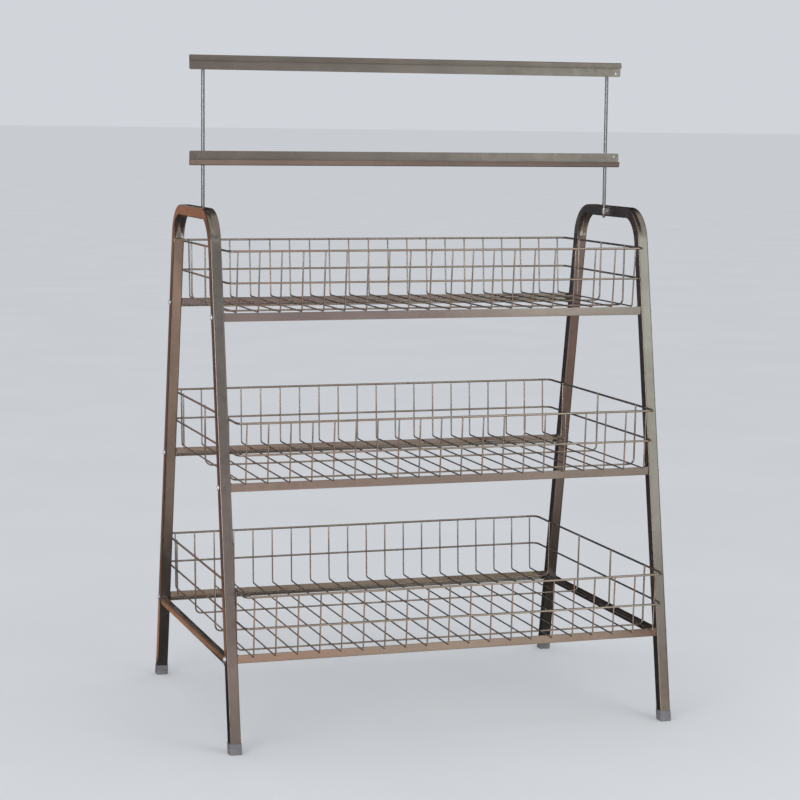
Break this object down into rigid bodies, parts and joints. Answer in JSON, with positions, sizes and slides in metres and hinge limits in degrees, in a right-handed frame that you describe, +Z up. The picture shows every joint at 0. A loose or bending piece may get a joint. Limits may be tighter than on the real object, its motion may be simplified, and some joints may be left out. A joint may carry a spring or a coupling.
{
  "type": "wire basket display stand",
  "caption": "Free-standing display stand: bent-tube side frames carry angle rails with loose welded wire baskets in tiers, and clipped rods hold sign channels above.",
  "frame": {"origin": "on the floor, in the middle of the footprint", "axes": "+X along the baskets to the right seen from the front, +Y to the back, +Z up"},
  "size_m": [1.0636, 0.7982, 1.522],
  "materials": {
    "frame_paint": "satin metallic powder coat, champagne grey",
    "wire_paint": "satin metallic powder coat, champagne grey",
    "channel_paint": "satin powder coat, greenish grey",
    "zinc_plate": "bright zinc plate",
    "cap_plastic": "matte moulded grey"
  },
  "bodies": {
    "frame": {"side_frame_left": "frame_paint", "side_frame_right": "frame_paint", "side_brace_left": "frame_paint", "side_brace_right": "frame_paint", "foot_cap_front_left": "cap_plastic", "foot_cap_front_right": "cap_plastic", "foot_cap_back_left": "cap_plastic", "foot_cap_back_right": "cap_plastic", "rail_top_front": "frame_paint", "rail_top_back": "frame_paint", "rail_middle_front": "frame_paint", "rail_middle_back": "frame_paint", "rail_bottom_front": "frame_paint", "rail_bottom_back": "frame_paint", "bolt_top_front_left": "zinc_plate", "bolt_top_front_right": "zinc_plate", "bolt_top_back_left": "zinc_plate", "bolt_top_back_right": "zinc_plate", "bolt_middle_front_left": "zinc_plate", "bolt_middle_front_right": "zinc_plate", "bolt_middle_back_left": "zinc_plate", "bolt_middle_back_right": "zinc_plate", "bolt_bottom_front_left": "zinc_plate", "bolt_bottom_front_right": "zinc_plate", "bolt_bottom_back_left": "zinc_plate", "bolt_bottom_back_right": "zinc_plate", "rod_clip_left": "zinc_plate", "rod_clip_right": "zinc_plate", "rod_clip_screw_left": "zinc_plate", "rod_clip_screw_right": "zinc_plate"},
    "basket_top": {"basket_top": "wire_paint"},
    "basket_middle": {"basket_middle": "wire_paint"},
    "basket_bottom": {"basket_bottom": "wire_paint"},
    "sign_holder": {"sign_channel_upper": "channel_paint", "sign_channel_lower": "channel_paint", "sign_rod_left": "zinc_plate", "sign_rod_right": "zinc_plate"}
  },
  "joints": [
    {"name": "basket_top_lift", "type": "slide", "parent": "frame", "child": "basket_top", "axis": [0, 0, 1], "range_m": [0, 0.025]},
    {"name": "basket_middle_lift", "type": "slide", "parent": "frame", "child": "basket_middle", "axis": [0, 0, 1], "range_m": [0, 0.2]},
    {"name": "basket_bottom_lift", "type": "slide", "parent": "frame", "child": "basket_bottom", "axis": [0, 0, 1], "range_m": [0, 0.2]},
    {"name": "sign_holder_slide", "type": "slide", "parent": "frame", "child": "sign_holder", "axis": [0, 0, 1], "range_m": [-0.03, 0.006]}
  ]
}
